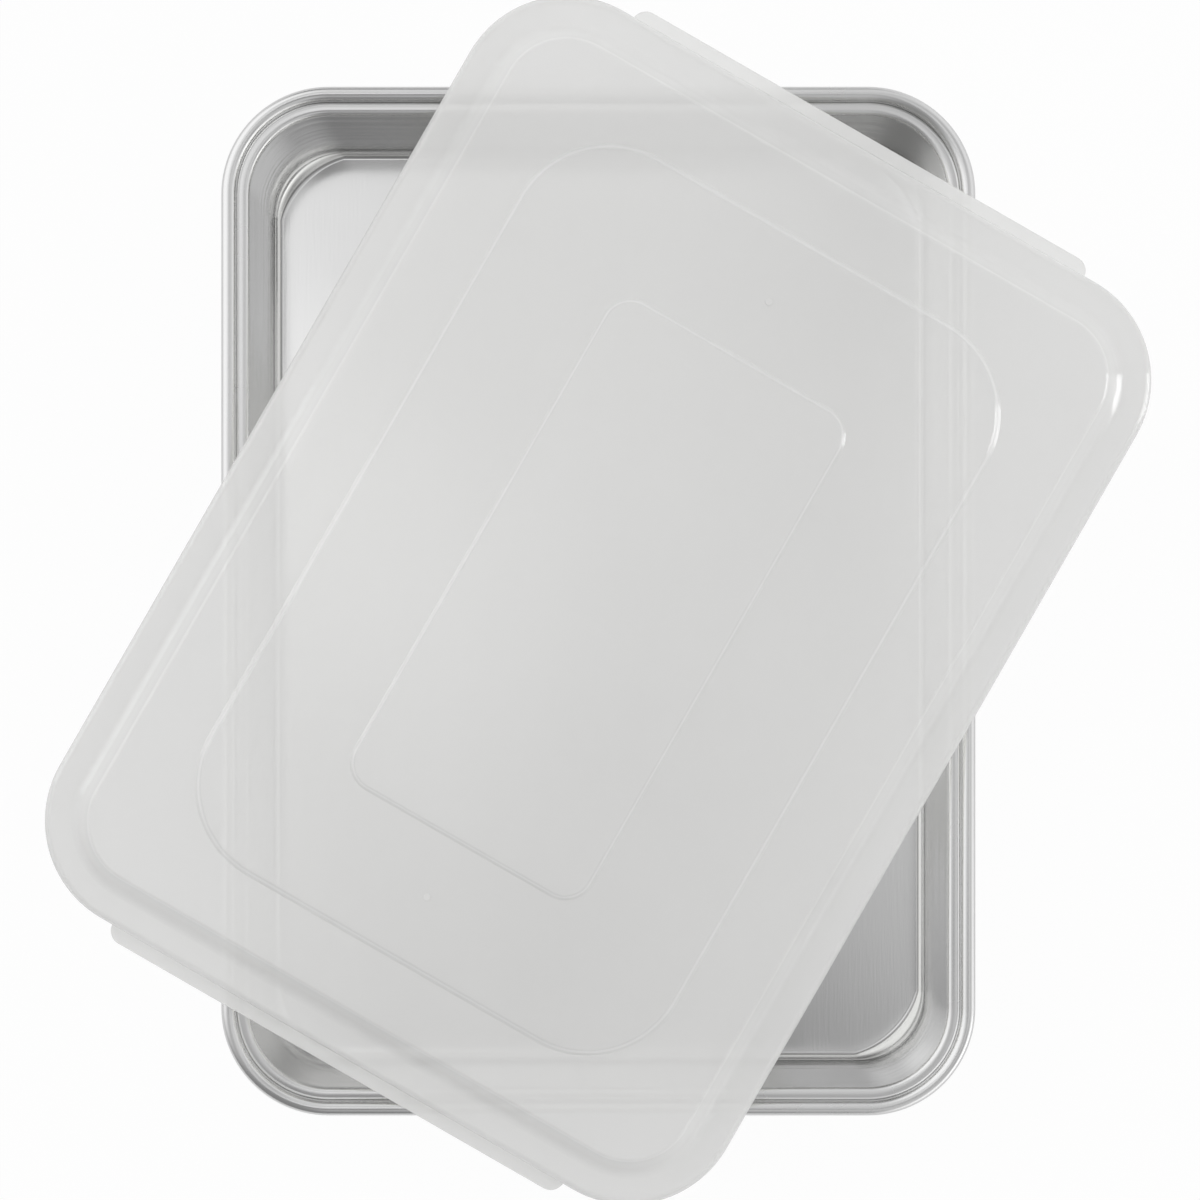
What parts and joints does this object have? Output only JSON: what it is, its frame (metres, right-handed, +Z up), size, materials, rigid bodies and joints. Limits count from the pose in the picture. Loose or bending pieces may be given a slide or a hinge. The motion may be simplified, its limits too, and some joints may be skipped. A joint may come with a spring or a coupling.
{
  "type": "cake pan with lid",
  "caption": "Rectangular drawn metal cake pan with a rim rolled round a stiffening wire, and a milky moulded plastic lid with end pull tabs lying crosswise on it.",
  "frame": {"origin": "centre of the pan's underside, on the table", "axes": "+X across the pan, +Y along its long sides, +Z up; the lid lies on the rim turned 29.9 degrees clockwise seen from above"},
  "size_m": [0.3876, 0.4234, 0.0751],
  "materials": {
    "pan_metal": "natural satin aluminium as drawn, the floor matt, the walls and rim brighter",
    "wire_steel": "galvanised wire, dull grey",
    "lid_plastic": "natural milky polypropylene, translucent, satin with glossy edges"
  },
  "bodies": {
    "root": {"pan": "pan_metal", "rim_wire": "wire_steel", "lid": "lid_plastic"}
  },
  "joints": []
}
